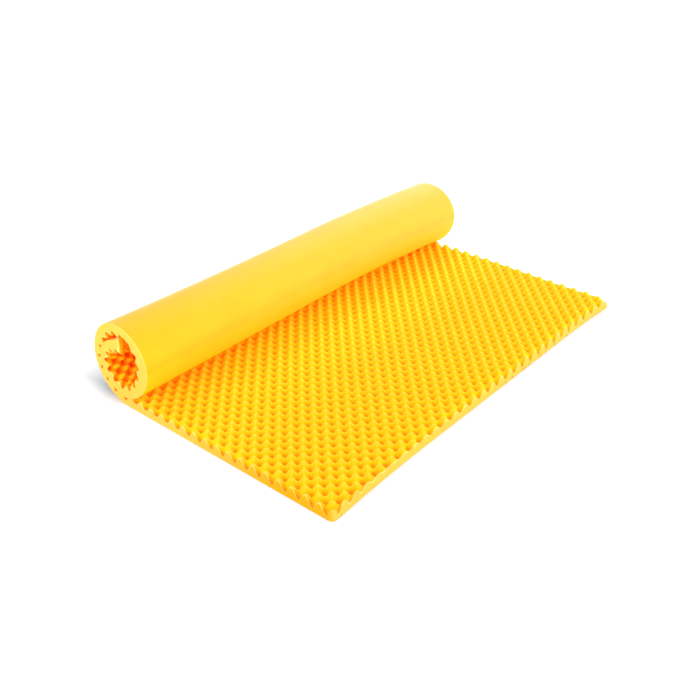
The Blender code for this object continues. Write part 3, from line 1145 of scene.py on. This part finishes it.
# A painted glow on the inner end of the sheet.
from_near_end = (foam_x + WIDTH / 2) / INNER_GLOW_RUN
painted_inner_glow = from_near_end.at_least(0).at_most(1) * note("inner_end")
painted_light_tone = 1 + painted_inner_glow * INNER_GLOW + painted_light_near_roll * NEAR_ROLL_LIFT + (painted_skin_light - 1) * skin_share
print("green tones reach", round(1 + INNER_GLOW, 2), "at the inner end")

# %% [markdown]
# The colours and tones meet in the shader here. Red stays full, green takes all the tones with the
# painted light among them, and blue takes the tone of dye and froth twice, so that deep cells look
# warmer. The froth also gives the fine relief.

# %% Finished foam
FOAM_ROUGHNESS = 0.6
ROUGHNESS_SWING = 0.1
CELL_DEPTH = 0.0006
CELL_RELIEF = 0.5

toned = add_node(foam_nodes, "ShaderNodeVectorMath", operation="MULTIPLY")
foam_nodes.links.new(foam_colour, toned.inputs[0])
foam_nodes.links.new(joined(foam_nodes, 1, tone * painted_light_tone, tone * tone), toned.inputs[1])
foam_nodes.links.new(toned.outputs[0], shader.inputs["Base Color"])
roughness = FOAM_ROUGHNESS + (coarse_cells - 0.5) * ROUGHNESS_SWING
foam_nodes.links.new(roughness.socket, shader.inputs["Roughness"])
cell_bump = add_node(foam_nodes, "ShaderNodeBump", invert=True)
cell_bump.inputs["Distance"].default_value = CELL_DEPTH
cell_bump.inputs["Strength"].default_value = CELL_RELIEF
foam_nodes.links.new(froth.socket, cell_bump.inputs["Height"])
foam_nodes.links.new(cell_bump.outputs["Normal"], shader.inputs["Normal"])
print("foam material with", len(foam_nodes.nodes), "nodes")

# %% [markdown]
# ## Make the piece
#
# A modifier with the tree does the work. Its inputs are set by identifier, and new_from_object
# turns what it makes into a plain mesh that any other program can read.

# %% Foam topper
holder = bpy.data.objects.new("holder", bpy.data.meshes.new("holder"))
bpy.context.scene.collection.objects.link(holder)
modifier = holder.modifiers.new("rolled foam", "NODES")
modifier.node_group = tree
identifier = {item.name: item.identifier for item in tree.interface.items_tree}
for name, value in SIZE_INPUTS.items():
    modifier[identifier[name]] = value
modifier[identifier["Path"]] = foam_path
modifier[identifier["Foam"]] = foam

evaluated = holder.evaluated_get(bpy.context.evaluated_depsgraph_get())
foam_mesh = bpy.data.meshes.new_from_object(evaluated)
foam_mesh.name = "foam_topper"
topper = bpy.data.objects.new("foam_topper", foam_mesh)
bpy.context.scene.collection.objects.link(topper)
bpy.data.objects.remove(holder)
bpy.data.objects.remove(foam_path)
triangles = sum(len(face.vertices) - 2 for face in foam_mesh.polygons)
print("foam topper:", len(foam_mesh.vertices), "points,", triangles, "triangles")

# %% [markdown]
# ## Floor
#
# The floor is one large square. It isn't part of the object.

# %% Floor
FLOOR_HALF = 12
FLOOR_CORNERS = ((-1, -1), (1, -1), (1, 1), (-1, 1))
FLOOR_ROUGHNESS = 0.9

floor_mesh = bpy.data.meshes.new("floor")
floor_points = [(x * FLOOR_HALF, y * FLOOR_HALF, 0) for x, y in FLOOR_CORNERS]
floor_mesh.from_pydata(floor_points, [], [(0, 1, 2, 3)])
floor = bpy.data.objects.new("floor", floor_mesh)
bpy.context.scene.collection.objects.link(floor)
floor_paint = bpy.data.materials.new("white_floor")
floor_paint.use_nodes = True
floor_mesh.materials.append(floor_paint)
floor_nodes = floor_paint.node_tree
floor_shader = floor_nodes.nodes["Principled BSDF"]
floor_shader.inputs["Roughness"].default_value = FLOOR_ROUGHNESS
floor_x, floor_y, _ = parts_of(floor_nodes, add_node(floor_nodes, "ShaderNodeTexCoord").outputs["Object"])
print("floor:", 2 * FLOOR_HALF, "m wide")

# %% [markdown]
# Its paint goes from light grey near the foam to white further out. Under the strong lights both
# read as white. Two soft marks are painted on it by place. One is the faint grey shadow behind the
# roll, and the other cools the strip next to the foam, which would otherwise turn yellow from the
# light that the foam sends down.

# %% Shades on the floor
FLOOR_NEAR, FLOOR_FAR = 1.2, 3.0
FLOOR_SHADES = (0.66, 0.97)
FLOOR_TINT = (1.0, 1.035, 1.07)
FLOOR_BRIGHTEST = 0.98
SHADOW_ENDS, SHADOW_SOFT_END = 0.80, 0.08
SHADOW_FROM, SHADOW_SOFT_FROM = 0.36, 0.08
SHADOW_BACK, SHADOW_SOFT_BACK = 0.74, 0.27
SHADOW_STRENGTH = 0.72
SHADOW_TINT = (0.97, 1.02, 1.08)
NEAR_FOAM_REACH = 0.05
NEAR_FOAM_TINT = (0.94, 1.07, 1.22)
NEAR_FOAM_OUT_OF_SHADOW = 3

away = (floor_x * floor_x + floor_y * floor_y).root()
brighter = ((away - FLOOR_NEAR) / (FLOOR_FAR - FLOOR_NEAR)).at_least(0).at_most(1)
shade = FLOOR_SHADES[0] + brighter * (FLOOR_SHADES[1] - FLOOR_SHADES[0])
beside_roll = ((SHADOW_ENDS - floor_x.unsigned()) / SHADOW_SOFT_END).at_least(0).at_most(1)
behind_roll = ((SHADOW_BACK - floor_y) / SHADOW_SOFT_BACK).at_least(0).at_most(1)
behind_roll = behind_roll * ((floor_y - SHADOW_FROM) / SHADOW_SOFT_FROM).at_least(0).at_most(1)
shadow = beside_roll * behind_roll
shade = shade * (1 - shadow * SHADOW_STRENGTH)

half_deep = (cad_box[1][1] - cad_box[0][1]) / 2
foam_gap = (floor_x.unsigned() - WIDTH / 2).at_least(floor_y.unsigned() - half_deep)
near_foam = (1 - foam_gap / NEAR_FOAM_REACH).at_least(0).at_most(1)
near_foam = near_foam * (1 - shadow * NEAR_FOAM_OUT_OF_SHADOW).at_least(0)
channels = []
for light, dark, near in zip(FLOOR_TINT, SHADOW_TINT, NEAR_FOAM_TINT):
    tint = (1 + shadow * (dark - 1)) * (1 + near_foam * (near - 1)) * light
    channels.append((shade * tint).at_most(FLOOR_BRIGHTEST))
floor_nodes.links.new(joined(floor_nodes, *channels), floor_shader.inputs["Base Color"])
print("floor painted with", len(floor_nodes.nodes), "nodes")

# %% [markdown]
# ## Light
#
# The picture is bright and even. A white room lights everything softly, and square lamps give the
# foam its form: strong ones in front and behind on the far side, weaker ones above and at the
# near end. Light bounces many times, which helps turn the pits orange beside their painted orange shade.

# %% Room and lamps
LIGHT_BOUNCES = 24
# Each lamp has its place, the place it points at, its width in metres and its power in watts.
SOFTBOXES = {
    "front": ((0.5, -4.2, 1.0), (0, 0, 0), 2.6, 200),
    "back": ((3.4, 1.6, 2.4), (0, 0, 0), 2.4, 225),
    "left": ((-3.0, -1.2, 3.2), (0, 0, 0), 2.4, 30),
    "above": ((-0.5, 2.6, 3.6), (0, 0.2, 0.2), 2.6, 85),
    "roll_end": ((-3.4, 0.2, 0.9), (-0.75, 0.35, 0.15), 2.0, 78),
}


def softbox(name, place, aim, width, power):
    """A square lamp that points at a place."""
    lamp = bpy.data.lights.new(name, "AREA")
    lamp.size = width
    lamp.energy = power
    stand = bpy.data.objects.new(name, lamp)
    stand.location = place
    stand.rotation_euler = (Vector(aim) - Vector(place)).to_track_quat("-Z", "Y").to_euler()
    bpy.context.scene.collection.objects.link(stand)


world = bpy.data.worlds.new("white_room")
bpy.context.scene.world = world
world.use_nodes = True
world.node_tree.nodes["Background"].inputs["Color"].default_value = (1, 1, 1, 1)
world.node_tree.nodes["Background"].inputs["Strength"].default_value = 1.0
for name, settings in SOFTBOXES.items():
    softbox(name, *settings)
bpy.context.scene.view_settings.view_transform = "Standard"
bpy.context.scene.cycles.diffuse_bounces = LIGHT_BOUNCES
bpy.context.scene.cycles.max_bounces = LIGHT_BOUNCES
print("lamps:", ", ".join(SOFTBOXES))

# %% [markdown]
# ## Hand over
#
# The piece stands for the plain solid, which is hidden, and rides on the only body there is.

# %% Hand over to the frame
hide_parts("topper")
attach(topper, "root")

# %% [markdown]
